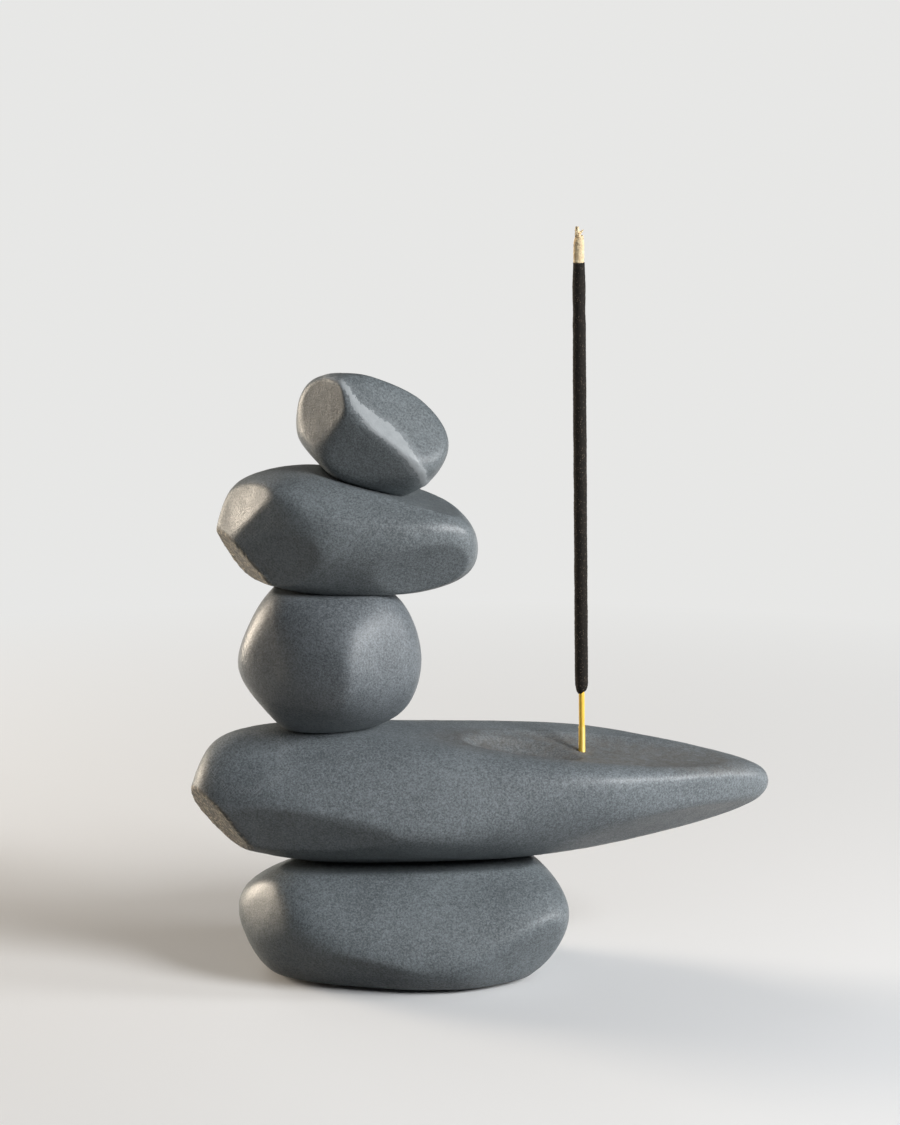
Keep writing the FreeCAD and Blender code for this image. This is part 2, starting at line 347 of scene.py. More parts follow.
slate = {
    "dark": (0.086, 0.096, 0.102, 1),
    "light": (0.225, 0.246, 0.258, 1),
    # pale colour of worn ridges, where it also stands in as a painted highlight, and of scratches and rubbed
    # strokes
    "worn": (0.31, 0.33, 0.34, 1),
    "fleck": (0.36, 0.37, 0.36, 1),
    "dust": (0.128, 0.118, 0.106, 1),
    # painted shade that darkens the dust at the hollow's deep end
    "deepEndShade": (0.030, 0.028, 0.026, 1),
    # quartz, painted pale to stand in for the highlight along the top stone's ridge as well
    "quartzAndHighlight": (0.39, 0.41, 0.42, 1),
    "quartzGreyAndHighlight": (0.30, 0.32, 0.33, 1),
    "fresh": (0.21, 0.195, 0.17, 1),
    "freshLight": (0.56, 0.50, 0.40, 1),
    "cloudScale": 55,
    "grainScale": 2300,
    "coarseScale": 800,
    "toneFrom": 0.86,         # the mixed noises run from the dark colour here
    "toneTo": 1.23,           # to the light one here
    # how much of the colour under it each layer hides
    "fleckCover": 0.4,
    "wearAndHighlightCover": 0.6,
    "markCover": 0.6,
    "dustCover": 0.8,
    "roughness": (0.42, 0.52),
    "bump": (0.6, 0.14 * mm),
}


def boreFaces(bm, middle, axis, radius, reach):
    # faces whose corners all lie within the bore's cylinder
    def inside(co):
        arm = co - middle
        along = arm.dot(axis)
        return abs(along) < reach and (arm - axis * along).length < radius
    return [face for face in bm.faces if all(inside(vert.co) for vert in face.verts)]


def closeBore(bm, middle, axis, radius, reach):
    bmesh.ops.delete(bm, geom=boreFaces(bm, middle, axis, radius, reach), context="FACES")
    rim = [edge for edge in bm.edges if edge.is_boundary]
    bmesh.ops.holes_fill(bm, edges=rim, sides=0)
    loose = [vert for vert in bm.verts if not vert.link_faces]
    bmesh.ops.delete(bm, geom=loose, context="VERTS")


def drill(stone, middle, axis, radius, depth):
    # a clean round hole, cut after the surface is finished
    bm = bmesh.new()
    bmesh.ops.create_cone(bm, cap_ends=True, segments=48, radius1=radius, radius2=radius, depth=2 * depth)
    bmesh.ops.transform(bm, matrix=axis.to_track_quat("Z", "Y").to_matrix().to_4x4(), verts=bm.verts)
    bmesh.ops.translate(bm, vec=middle, verts=bm.verts)
    cutter = linkObject("cutter", meshFrom(bm, "cutter"))
    hole = stone.modifiers.new("hole", "BOOLEAN")
    hole.object = cutter
    hole.operation = "DIFFERENCE"
    hole.solver = "EXACT"
    applyModifiers(stone)
    bpy.data.objects.remove(cutter)


def stickFoot():
    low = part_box("bamboo_core")[0]
    middle, axis = pinLine("bamboo_core")
    return middle + axis * ((low.z - middle.z) / axis.z), axis


def holesIn(name):
    found = [pinLine(pin) + bores["pin"] for pin in stones[name]["pins"]]
    if name == "dish_stone":
        found.append(stickFoot() + bores["stick"])
    return found


def cutFlats(bm, flats):
    # each flat draws the points that stand beyond its plane back to it
    for x, y, z, turn, rise, bite, soft in flats:
        normal = facing(turn, rise)
        level = Vector((x, y, z)).dot(normal) * mm - bite * mm
        softness = soft * mm
        for vert in bm.verts:
            over = vert.co.dot(normal) - level
            if over > softness:
                vert.co -= normal * over
            elif over > -softness:
                vert.co -= normal * ((over + softness) ** 2 / (4 * softness))


def unevenness(co, values):
    # how far the worn skin moves along its normal
    look = stoneLook
    shift = Vector((values["seed"],) * 3)
    size, depth = look["swell"]
    move = depth * (noise.fractal(co / size + shift, 1.0, 2.0, 2) - 0.55)
    size, depth = look["ripple"]
    move += depth * noise.fractal(co / size + shift * 2, 0.8, 2.1, 3)
    size, depth = look["skin"]
    move += depth * noise.noise(co / size + shift * 3)
    near = noise.voronoi(co / look["pitSize"] + shift, distance_metric="DISTANCE")[0][0]
    patch = smoothStep(0.1, 0.6, noise.noise(co / look["pitPatch"] - shift))
    return move - look["pitDepth"] * values["pits"] * patch * (1 - smoothStep(0.05, 0.32, near))


def breakRoughness(co, values):
    # a chip's face: steps that follow the stone's grain, and a coarse crystal
    shift = Vector((values["seed"],) * 3)
    rough = noise.multi_fractal(co / stoneLook["breakSize"] + shift, 0.7, 2.1, 4)
    stepped = Vector(c / size for c, size in zip(co, stoneLook["breakSteps"])) / mm
    return stoneLook["breakDepth"] * (0.45 * rough + 0.8 * abs(noise.noise(stepped + shift)))


def veinAndHighlightDepth(co):
    # how far inside the band of quartz and painted highlight a point is, in millimetres, and less than 0
    # outside it
    turn = math.radians(veinAndHighlight["turn"])
    side = (co.x * math.cos(turn) + co.y * math.sin(turn)) / mm
    side += 0.35 * noise.noise(co / (3.1 * mm)) + 0.2 * noise.noise(co / (1.1 * mm))
    up = co.z / mm + 0.35 * noise.noise(co / (2.7 * mm) + Vector((9, 9, 9)))
    place = Vector((side, up, 0))
    best = -99.0
    for a, b in zip(veinAndHighlight["line"], veinAndHighlight["line"][1:]):
        start, end = Vector((a[0], a[1], 0)), Vector((b[0], b[1], 0))
        run = end - start
        share = min(1.0, max(0.0, (place - start).dot(run) / run.length_squared))
        away = (place - start - run * share).length
        best = max(best, a[2] + (b[2] - a[2]) * share - away)
    return best


def dustAmount(co, normal):
    along = (co.x - hollow["middle"]) / hollow["halfLength"]
    across = (co.y - hollow["across"]) / hollow["halfWidth"]
    near = 1 - smoothStep(*hollow["dustFade"], math.hypot(along, across))
    return near * smoothStep(*hollow["level"], normal.z)


def ridgeAmounts(mesh, passes, reach):
    # how far each point stands out from the same surface smoothed down
    bm = bmesh.new()
    bm.from_mesh(mesh)
    smoothPasses(bm, passes)
    amounts = []
    for vert, smoothed in zip(mesh.vertices, bm.verts):
        amounts.append((vert.co - smoothed.co).dot(vert.normal) / reach)
    bm.free()
    return amounts


def closedBlank(name, holes):
    # the CAD stone without its bores, in even faces
    bm = mergedCopy(name)
    wider, longer = bores["margin"]
    for middle, axis, radius, depth in holes:
        closeBore(bm, middle, axis, radius + wider, depth + longer)
    stone = linkObject(name + "_worn", meshFrom(bm, name + "_worn"))
    voxelRemesh(stone, stoneLook["voxel"])
    return stone


def seatPlanes(name, holes):
    # each pin stands across the middle of a seat
    seats = [(middle, axis) for middle, axis, radius, depth in holes if radius == bores["pin"][0]]
    if name == "base_stone":
        seats.append((Vector((0, 0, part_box("base_stone")[0].z)), Vector((0, 0, 1))))
    return seats


def chipDepths(verts, values):
    # how far each point lies behind the face of the chip
    if "chip" not in values:
        return [1.0] * len(verts)
    normal = facing(*values["chip"])
    heights = [vert.co.dot(normal) for vert in verts]
    edge = max(heights)
    return [edge - height for height in heights]


def shapeStone(name):
    values = stones[name]
    look = stoneLook
    holes = holesIn(name)
    stone = closedBlank(name, holes)
    seats = seatPlanes(name, holes)
    low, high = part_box(name)

    bm = bmesh.new()
    bm.from_mesh(stone.data)
    smoothPasses(bm, look["smoothing"])
    depths = chipDepths(bm.verts, values)
    cutFlats(bm, values["flats"])
    bm.normal_update()
    moves = []
    for vert, depth in zip(bm.verts, depths):
        free = 1.0
        for middle, axis in seats:
            free *= smoothStep(*look["seatFade"], abs((vert.co - middle).dot(axis)))
        broken = 1 - smoothStep(*look["roughBehind"], depth)
        move = unevenness(vert.co, values) * (1 - broken)
        if broken > 0:
            move -= breakRoughness(vert.co, values) * broken
        if name == "top_stone":
            move += veinAndHighlight["proud"] * smoothStep(*veinAndHighlight["proudFrom"], veinAndHighlightDepth(vert.co))
        moves.append(vert.normal * move * free)
    for vert, move in zip(bm.verts, moves):
        vert.co += move
        # no point leaves the CAD stone's box
        vert.co = Vector(min(h, max(l, c)) for c, l, h in zip(vert.co, low, high))
    bm.to_mesh(stone.data)
    bm.free()
    for middle, axis, radius, depth in holes:
        drill(stone, middle, axis, radius, depth)
    return stone


def markStone(stone, name):
    # what the material reads at each point
    mesh = stone.data
    verts = mesh.vertices
    look = stoneLook
    depths = chipDepths(verts, stones[name])
    writeAttribute(mesh, "ridge", ridgeAmounts(mesh, look["ridgePasses"], look["ridgeReach"]))
    writeAttribute(mesh, "broken", [1 - smoothStep(*look["freshBehind"], depth) for depth in depths])
    writeAttribute(mesh, "veinAndHighlight", [veinAndHighlightDepth(vert.co) if name == "top_stone" else -9.0 for vert in verts])
    isDish = name == "dish_stone"
    writeAttribute(mesh, "dust", [dustAmount(vert.co, vert.normal) if isDish else 0.0 for vert in verts])


def polishedPatches(tree, place, patches):
    # how smooth the stone is rubbed, and the strokes that rubbing left
    edge = spread(tree, noiseNode(tree, place, 330, 4, 0.6), 0.3, 0.7, 0.35, -0.35)
    polished, scored = [], []
    for x, y, z, reach, scoring in patches:
        here = nearness(tree, place, (x, y, z), reach)
        here = times(tree, here, spread(tree, add(tree, here, edge), 0.1, 0.6))
        polished.append(here)
        if scoring:
            # the strokes only show along the patch's feathered edge
            band = times(tree, spread(tree, here, 0.05, 0.35), spread(tree, here, 0.95, 0.5))
            scored.append(times(tree, band, scoring, scoredLines(tree, place)))
    return highest(tree, polished), scored


def scoredLines(tree, place):
    # two sets of fine strokes that cross where the stone was rubbed
    bend = spread(tree, noiseNode(tree, place, 190, 2), 0, 1, -1.2 * mm, 1.2 * mm)
    sets = []
    for lean, apart in zip((1, -1), stoneLook["strokesApart"]):
        along = alongDirection(tree, place, facing(stoneLook["strokeTurn"], 45 * lean))
        wave = mathNode(tree, "SINE", times(tree, add(tree, along, bend), 2 * math.pi / apart))
        gaps = noiseNode(tree, objectPlace(tree, (0, 0, 0), (900, 900, 260), (0, 45 * lean, 0)), 1.0, 3, 0.6)
        sets.append(times(tree, spread(tree, wave, 0.35, 0.95), spread(tree, gaps, 0.44, 0.56)))
    return highest(tree, sets)


def scratchLines(tree, place, values):
    # each scratch is where a plane meets the stone, fading out from its middle
    wander = noiseNode(tree, place, 240, 2)
    gaps = spread(tree, noiseNode(tree, place, 700, 3, 0.7), 0.38, 0.55)
    lines = []
    for x, y, z, turn, rise, reach, width in values["scratches"]:
        fromMiddle = addNode(tree, "VectorMath", {0: place, 1: [x * mm, y * mm, z * mm]}, operation="SUBTRACT")
        off = alongDirection(tree, fromMiddle.outputs[0], facing(turn, rise))
        off = add(tree, off, spread(tree, wander, 0, 1, -0.3 * mm, 0.3 * mm))
        line = spread(tree, mathNode(tree, "ABSOLUTE", off), width * mm, 0.2 * width * mm)
        lines.append(times(tree, line, nearness(tree, place, (x, y, z), reach), gaps))
    return highest(tree, lines)


def ringLines(tree, place, centre):
    # faint curved lines round one spot
    bend = spread(tree, noiseNode(tree, place, 160, 3), 0, 1, -0.5 * mm, 0.5 * mm)
    away = add(tree, distanceFrom(tree, place, centre), bend)
    wave = mathNode(tree, "SINE", times(tree, away, 2 * math.pi / stoneLook["ringsApart"]))
    band = times(tree, spread(tree, away, *stoneLook["ringsFrom"]), spread(tree, away, *stoneLook["ringsTo"]))
    side = addNode(tree, "SeparateXYZ", {0: place}).outputs[0]
    band = times(tree, band, spread(tree, side, (centre[0] + 1) * mm, (centre[0] - 3) * mm))   # their left half
    broken = spread(tree, noiseNode(tree, place, 330, 3), 0.42, 0.6)
    return times(tree, spread(tree, wave, 0.1, 0.9), band, broken)


def plainSlate(tree, place, seed, tint):
    # the stone's own colour with its pale flecks, and the noises that other layers follow
    clouds = noiseNode(tree, place, slate["cloudScale"], 5, 0.55, 0.4)
    bands = noiseNode(tree, objectPlace(tree, (seed, 0, 0), (40, 40, 150), (18, 9, 0)), 1.0, 4, 0.6, 0.6)
    grain = noiseNode(tree, place, slate["grainScale"], 3, 0.75)
    coarse = noiseNode(tree, place, slate["coarseScale"], 3, 0.6)
    tone = add(tree, times(tree, clouds, 0.35), times(tree, bands, 0.18), times(tree, grain, 1.25),
               times(tree, coarse, 0.3))
    tone = spread(tree, tone, slate["toneFrom"], slate["toneTo"])
    colour = mixColours(tree, tone, slate["dark"], slate["light"])
    dots = spread(tree, voronoiNode(tree, place, 1300), 0.16, 0.06)
    fleck = times(tree, dots, spread(tree, noiseNode(tree, place, 300, 2), 0.50, 0.66))
    colour = mixColours(tree, times(tree, fleck, slate["fleckCover"]), colour, slate["fleck"])
    return mixColours(tree, 1.0, colour, tint, "MULTIPLY"), clouds, grain, coarse


def chipFace(tree, place):
    # fresh stone, and the crystals that stand out of it
    crystals = addNode(tree, "SeparateColor", {0: voronoiNode(tree, place, 1700, "Color")}).outputs[0]
    patchy = spread(tree, noiseNode(tree, place, 500, 4, 0.7), 0.25, 0.6)
    fresh = mixColours(tree, patchy, slate["dark"], slate["fresh"])
    return mixColours(tree, spread(tree, crystals, 0.58, 1.0), fresh, slate["freshLight"]), crystals


def dustAndShade(tree, plain, place, grain, shadedDeepEnd):
    # how much of the stone the dust hides, and its colour, which on the dish carries a painted shade at the
    # hollow's deep end
    thin = spread(tree, noiseNode(tree, place, 420, 6, 0.75), 0.24, 0.62)
    cover = mathNode(tree, "MULTIPLY", attributeNode(tree, "dust"), thin, True)
    dustDark, dustLight = [[c * share for c in slate["dust"][:3]] + [1] for share in (0.72, 1.3)]
    colour = mixColours(tree, spread(tree, grain, 0.3, 0.7), dustDark, dustLight)
    if shadedDeepEnd:
        # painted shade: the dust at the hollow's deep end is darkened to stand in for shade on its left wall
        deepEndShade = nearness(tree, plain, hollow["deepEndShadeSpot"], hollow["deepEndShadeReach"])
        deepEndShade = times(tree, deepEndShade, spread(tree, noiseNode(tree, place, 260, 4, 0.6), 0.25, 0.6, 0.25, 0.5))
        colour = mixColours(tree, deepEndShade, colour, slate["deepEndShade"])
    return cover, colour


def veinedAndHighlighted(tree, place, clouds, grain, colour):
    # quartz with a frayed edge, in a grey fringe, painted pale to stand in for the highlight along the ridge as
    # well
    fray = spread(tree, noiseNode(tree, place, 1100, 4, 0.65), 0.3, 0.7, -0.42, 0.42)
    inside = add(tree, attributeNode(tree, "veinAndHighlight"), fray)
    fringe = times(tree, spread(tree, inside, -1.3, -0.1), clouds, 0.8)
    colour = mixColours(tree, fringe, colour, slate["quartzGreyAndHighlight"])
    milk = add(tree, times(tree, noiseNode(tree, place, 420, 4, 0.6), 0.7), times(tree, grain, 0.4))
    milky = mixColours(tree, spread(tree, milk, 0.35, 0.75), slate["quartzGreyAndHighlight"], slate["quartzAndHighlight"])
    return mixColours(tree, spread(tree, inside, -0.06, 0.08), colour, milky)


def slateMaterial(name, values):
    material, tree, shader = startMaterial(name)
    seed = values["seed"]
    plain = objectPlace(tree)
    place = objectPlace(tree, (seed, seed, seed))
    colour, clouds, grain, coarse = plainSlate(tree, place, seed, values["tint"])

    # ridges are paler: wear, and a painted highlight along them
    worn = times(tree, spread(tree, attributeNode(tree, "ridge"), 0.25, 1.5), spread(tree, grain, 0.3, 0.6))
    colour = mixColours(tree, times(tree, worn, slate["wearAndHighlightCover"]), colour, slate["worn"])

    polish, scored = polishedPatches(tree, plain, values["polish"])
    marks = []   # these are cut into the stone, so they also lower its bump
    if values["scratches"]:
        marks.append(times(tree, scratchLines(tree, plain, values), 0.8))
    if "rings" in values:
        marks.append(times(tree, ringLines(tree, plain, values["rings"]), 0.4))
    for mark in marks + scored:
        cover = mathNode(tree, "MULTIPLY", mark, slate["markCover"], True)
        colour = mixColours(tree, cover, colour, slate["worn"])

    broken = mathNode(tree, "MULTIPLY", attributeNode(tree, "broken"), 1.0, True)
    fresh, crystals = chipFace(tree, place)
    colour = mixColours(tree, broken, colour, fresh)
    # the dust, and on the dish the painted shade at the hollow's deep end
    dust, dustAndShadeTone = dustAndShade(tree, plain, place, grain, name.startswith("dish"))
    colour = mixColours(tree, times(tree, dust, slate["dustCover"]), colour, dustAndShadeTone)
    if name.startswith("top"):
        colour = veinedAndHighlighted(tree, place, clouds, grain, colour)
    tree.links.new(colour, shader.inputs["Base Color"])

    rough = spread(tree, noiseNode(tree, place, 130, 4, 0.6), 0.3, 0.7, *slate["roughness"])
    rough = add(tree, rough, times(tree, dust, 0.3), times(tree, broken, 0.2), times(tree, worn, -0.05),
                times(tree, polish, -0.11))
    tree.links.new(mathNode(tree, "MINIMUM", rough, 0.95), shader.inputs["Roughness"])

    height = add(tree, times(tree, grain, 0.8), times(tree, coarse, 0.25), times(tree, crystals, broken, 2.6),
                 *[times(tree, mark, -0.5) for mark in marks])
    bumpInto(tree, shader, height, *slate["bump"])
    return material


def makeStones():
    for name, values in stones.items():
        stone = shapeStone(name)
        markStone(stone, name)
        finished(stone, "burner", name, slateMaterial(name + "_slate", values))


felt = {
    "rimRound": 0.25,         # millimetres
    "fuzz": 0.04,
    "fuzzSize": 0.5,
    "rings": 12,              # from the disc's middle to its rim
    "segments": 96,
    "longestEdge": 1.2,
    "colour": (0.020, 0.021, 0.023, 1),
    "fibre": (0.055, 0.056, 0.058, 1),
    "bump": (0.8, 0.2 * mm),
}


def turnedMesh(profile, steps):
    # a profile of (radius, height) in millimetres, spun about Z and closed at its poles
    bm = bmesh.new()
    verts = [bm.verts.new((radius * mm, 0, height * mm)) for radius, height in profile]
    for a, b in zip(verts, verts[1:]):
        bm.edges.new((a, b))
    bmesh.ops.spin(bm, geom=bm.verts[:] + bm.edges[:], axis=(0, 0, 1), cent=(0, 0, 0),
                   steps=steps, angle=2 * math.pi, use_merge=True)
    bmesh.ops.remove_doubles(bm, verts=bm.verts, dist=0.0005 * mm)
    bmesh.ops.recalc_face_normals(bm, faces=bm.faces)
    return bm


def feltMaterial():
    material, tree, shader = startMaterial("pressed_felt")
    place = objectPlace(tree)
    fibres = noiseNode(tree, place, 1500, 5, 0.8, 3.5)
    tufts = noiseNode(tree, place, 260, 3, 0.6, 1.0)
    share = add(tree, times(tree, fibres, 0.8), times(tree, tufts, 0.4))
    colour = mixColours(tree, spread(tree, share, 0.45, 0.85), felt["colour"], felt["fibre"])
    tree.links.new(colour, shader.inputs["Base Color"])
    shader.inputs["Roughness"].default_value = 0.95
    shader.inputs["Specular IOR Level"].default_value = 0.2
    shader.inputs["Sheen Weight"].default_value = 0.35
    shader.inputs["Sheen Roughness"].default_value = 0.6
    bumpInto(tree, shader, fibres, *felt["bump"])
    return material


def makePad():
    low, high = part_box("foot_pad")
    radius, top, rim = high.x / mm, high.z / mm, felt["rimRound"]
    inner = [radius * ring / felt["rings"] for ring in range(felt["rings"])]
    profile = [(r, 0) for r in inner]
    profile += [(radius - rim, 0), (radius - 0.3 * rim, 0.3 * rim), (radius, rim)]
    profile += [(radius, top - rim), (radius - 0.3 * rim, top - 0.3 * rim), (radius - rim, top)]
    profile += [(r, top) for r in reversed(inner)]
    bm = turnedMesh(profile, felt["segments"])
    longEdges = [edge for edge in bm.edges if edge.calc_length() > felt["longestEdge"] * mm]
    bmesh.ops.subdivide_edges(bm, edges=longEdges, cuts=1, use_grid_fill=True)
    bm.normal_update()
    for vert in bm.verts:
        nearRim = smoothStep(radius - 1.2, radius - 0.2, vert.co.xy.length / mm)
        tuft = 0.6 + 0.5 * noise.noise(vert.co / (felt["fuzzSize"] * mm))
        vert.co -= vert.normal * felt["fuzz"] * mm * nearRim * tuft
    pad = linkObject("foot_felt", meshFrom(bm, "foot_felt"))
    finished(pad, "burner", "foot_pad", feltMaterial())


steel = {
    "dull": (0.46, 0.46, 0.455, 1),
    "bright": (0.60, 0.60, 0.59, 1),
    "roughness": (0.24, 0.42),
    "ringScale": 9000,        # turning marks to the metre, square to the pin
    "bump": (0.25, 0.03 * mm),
    "pins": ("base_dowel", "middle_dowel", "shoulder_dowel", "top_dowel"),
}


def steelMaterial(name, axis):
    # a turned pin: fine rings square to its axis, and a little haze
    material, tree, shader = startMaterial(name)
    plain = objectPlace(tree)
    across = addNode(tree, "CombineXYZ", {2: alongDirection(tree, plain, axis)}).outputs[0]
    rings = noiseNode(tree, across, steel["ringScale"], 3, 0.7)
    haze = noiseNode(tree, plain, 420, 4, 0.6)
    colour = mixColours(tree, spread(tree, haze, 0.35, 0.7), steel["dull"], steel["bright"])
    tree.links.new(colour, shader.inputs["Base Color"])
    shader.inputs["Metallic"].default_value = 1.0
    tree.links.new(spread(tree, haze, 0.3, 0.7, *steel["roughness"]), shader.inputs["Roughness"])
    bumpInto(tree, shader, rings, *steel["bump"])
    return material


def finishDowels():
    for name in steel["pins"]:
        turned = steelMaterial(name + "_steel", pinLine(name)[1])
        for slot in nodes[name].material_slots:
            slot.material = turned
    print("dowels finished")


# The stick's sizes are in millimetres. It is made upright on the origin, then leans into its socket.
splint = {
    "lowRadius": 0.745,
    "highRadius": 0.655,
    "stepHeight": 17.8,       # above the foot of the stick
    "footRound": 0.12,
    "ringStep": 0.6,
    "segments": 28,
    "fibre": 0.030,           # share of the radius that its fibres and its square section take
    "square": 0.020,
    "stripeTurn": -70,
    "colour": (0.97, 0.65, 0.09, 1),
    "dark": (0.82, 0.49, 0.055, 1),
    "stripe": (0.97, 0.76, 0.28, 1),
    "bump": (0.4, 0.06 * mm),
}

paste = {
    "clearance": 0.03,        # between the splint and the paste
    "footRadius": 1.08,
    "radius": 1.53,
    "footLength": 2.2,        # height that the foot takes to reach the full radius
    "taper": (6.5, 0.20),     # how far below the ash it begins, and what it takes off the radius
    # shallow necks: how far below the ash, depth, half height
    "necks": [(11.0, 0.10, 2.4), (6.9, 0.04, 1.3), (15.8, 0.04, 1.6)],
    "ringStep": 0.30,
    "segments": 40,
    "grit": (0.55, 0.045),    # size and height of its grains
    "lumps": (2.6, 0.05),
    "droop": 0.35,            # how much lower its foot hangs on one side
    "droopTurn": -155,
    "ragged": 1.4,            # height of the ragged edge
    "dark": (0.006, 0.005, 0.004, 1),
    "colour": (0.021, 0.0165, 0.0125, 1),
    "speck": (0.26, 0.20, 0.145, 1),
    "bump": (0.9, 0.13 * mm),
}

ash = {
    "voxel": 0.085,
    "segments": 40,
    "radius": 1.24,
    "body": 6.4,              # height of the unbroken part
    "slump": 1.3,             # how much lower its left shoulder is
    # foot and tip of each horn, and its radius at the foot and at the tip
    "horns": [((-0.26, 0.0, 4.4), (-0.38, -0.05, 8.4), 0.80, 0.42),
              ((-0.1, 0.0, 6.3), (1.15, -0.1, 7.5), 0.52, 0.15),
              ((0.1, -0.5, 4.6), (0.05, -0.6, 6.9), 0.55, 0.18),
              ((0.2, 0.55, 4.6), (0.3, 0.7, 6.6), 0.48, 0.15)],
    "rough": 0.10,            # depth of its crumbs and of its flakes
    "flake": 0.05,
    "topGap": 0.05,           # left under the top of the CAD piece
    "pale": (0.91, 0.77, 0.51, 1),
    "warm": (0.78, 0.58, 0.35, 1),
    "speck": (0.28, 0.20, 0.13, 1),
    "bump": (0.8, 0.12 * mm),
}


def stickFrame():
    # from a stick that stands upright on the origin to its place in the socket
    foot, axis = stickFoot()
    lean = Vector((0, 0, 1)).rotation_difference(axis)
    return Matrix.Translation(foot) @ lean.to_matrix().to_4x4(), axis, foot


def heightOnStick(foot, axis, z):
    return (z - foot.z) / axis.z / mm


def tubeHeights(low, high, step):
    count = max(1, round((high - low) / step))
    return [low + (high - low) * share / count for share in range(count + 1)]


def splintRadius(height):
    step = smoothStep(splint["stepHeight"] - 0.25, splint["stepHeight"] + 0.25, height)
    return splint["lowRadius"] + (splint["highRadius"] - splint["lowRadius"]) * step


def makeSplint(place, top):
    heights = tubeHeights(splint["footRound"], top, splint["ringStep"])
    profile = [(0, 0), (splintRadius(0) * 0.7, 0)] + [(splintRadius(h), h) for h in heights] + [(0, top)]
    bm = turnedMesh(profile, splint["segments"])
    stripes = []
    for vert in bm.verts:
        height = vert.co.z / mm
        turn = math.atan2(vert.co.y, vert.co.x)
        fibre = noise.noise(Vector((math.cos(turn) * 2.6, math.sin(turn) * 2.6, height / 9)))
        square = splint["square"] * math.cos(4 * turn + 0.4)
        vert.co.xy *= 1 + splint["fibre"] * fibre + square
        apart = abs((math.degrees(turn) - splint["stripeTurn"] + 180) % 360 - 180)
        edge = splint["stepHeight"] + 0.4 * fibre
        stripes.append((1 - smoothStep(16, 30, apart)) * (1 - smoothStep(edge - 0.4, edge + 0.1, height)))
    bmesh.ops.transform(bm, matrix=place, verts=bm.verts)
    core = linkObject("bamboo_splint", meshFrom(bm, "bamboo_splint"))
    writeAttribute(core.data, "stripe", stripes)
    finished(core, "stick", "bamboo_core", bambooMaterial())


def bambooMaterial():
    material, tree, shader = startMaterial("bamboo")
    fibres = noiseNode(tree, objectPlace(tree, (0, 0, 0), (2600, 2600, 70)), 1.0, 4, 0.6)
    pores = noiseNode(tree, objectPlace(tree, (0, 0, 0), (5200, 5200, 420)), 1.0, 2, 0.5)
    cloud = noiseNode(tree, objectPlace(tree), 420, 3, 0.5)
    tone = add(tree, times(tree, fibres, 0.7), times(tree, cloud, 0.4))
    colour = mixColours(tree, spread(tree, tone, 0.40, 0.70), splint["dark"], splint["colour"])
    colour = mixColours(tree, times(tree, attributeNode(tree, "stripe"), 0.85), colour, splint["stripe"])
    colour = mixColours(tree, spread(tree, pores, 0.62, 0.76, 0.0, 0.55), colour, splint["dark"])
    tree.links.new(colour, shader.inputs["Base Color"])
    tree.links.new(spread(tree, fibres, 0.3, 0.7, 0.38, 0.55), shader.inputs["Roughness"])
    bumpInto(tree, shader, fibres, *splint["bump"])
    return material


def pasteRadius(height, foot, top):
    # a blunt foot, shallow necks below the burning end, and a taper up to the ash
    rise = min(1.0, (height - foot) / paste["footLength"])
    radius = paste["footRadius"] + (paste["radius"] - paste["footRadius"]) * math.sin(rise * math.pi / 2)
    taperLength, taperDepth = paste["taper"]
    radius -= taperDepth * smoothStep(top - taperLength, top, height)
    for below, depth, reach in paste["necks"]:
        away = (height - (top - below)) / reach
        radius -= depth * math.exp(-away * away)
    return radius


def makePaste(place, foot, top):
    bore = splint["lowRadius"] + paste["clearance"]
    heights = tubeHeights(foot, top, paste["ringStep"])
    profile = [(bore, foot + 1.0), (bore + 0.04, foot + 0.35), (bore + 0.12, foot)]
    profile += [(pasteRadius(h, foot, top), h) for h in heights[1:]]
    profile += [(bore + 0.1, top), (bore, top - 0.3), (bore, foot + 1.0)]
    bm = turnedMesh(profile, paste["segments"])
    lumpSize, lumpDepth = paste["lumps"]
    gritSize, gritDepth = paste["grit"]
    lowSide = math.radians(paste["droopTurn"])
    moves = []
    bm.normal_update()
    for vert in bm.verts:
        spot = vert.co / mm
        outer = smoothStep(bore + 0.05, bore + 0.25, spot.xy.length)
        lump = noise.noise(Vector((spot.x, spot.y, spot.z * 0.6)) / lumpSize)
        grit = noise.fractal(spot / gritSize, 0.8, 2.0, 3)
        move = vert.normal * (lumpDepth * lump + gritDepth * (grit - 0.35)) * outer * mm
        ragged = 1 - smoothStep(foot, foot + paste["ragged"], spot.z)
        side = math.cos(math.atan2(spot.y, spot.x) - lowSide)
        move.z -= paste["droop"] * (side + 0.5 * noise.noise(spot / 0.7)) * ragged * mm
        moves.append(move)
    for vert, move in zip(bm.verts, moves):
        vert.co += move
    bmesh.ops.transform(bm, matrix=place, verts=bm.verts)
    coat = linkObject("paste_coat", meshFrom(bm, "paste_coat"))
    finished(coat, "stick", "incense_coating", pasteMaterial())


def pasteMaterial():
    material, tree, shader = startMaterial("masala_paste")
    place = objectPlace(tree)
    grit = noiseNode(tree, place, 3600, 4, 0.75)
    clumps = noiseNode(tree, place, 900, 3, 0.6)
    specks = spread(tree, voronoiNode(tree, place, 2600), 0.30, 0.12)
    tone = add(tree, times(tree, grit, 0.7), times(tree, clumps, 0.5))
    colour = mixColours(tree, spread(tree, tone, 0.40, 0.80), paste["dark"], paste["colour"])
    speck = times(tree, specks, spread(tree, noiseNode(tree, place, 1200, 2), 0.42, 0.56))
    colour = mixColours(tree, times(tree, speck, 0.8), colour, paste["speck"])
    tree.links.new(colour, shader.inputs["Base Color"])
    shader.inputs["Roughness"].default_value = 0.88
    shader.inputs["Specular IOR Level"].default_value = 0.3
    bumpInto(tree, shader, grit, *paste["bump"])
    return material


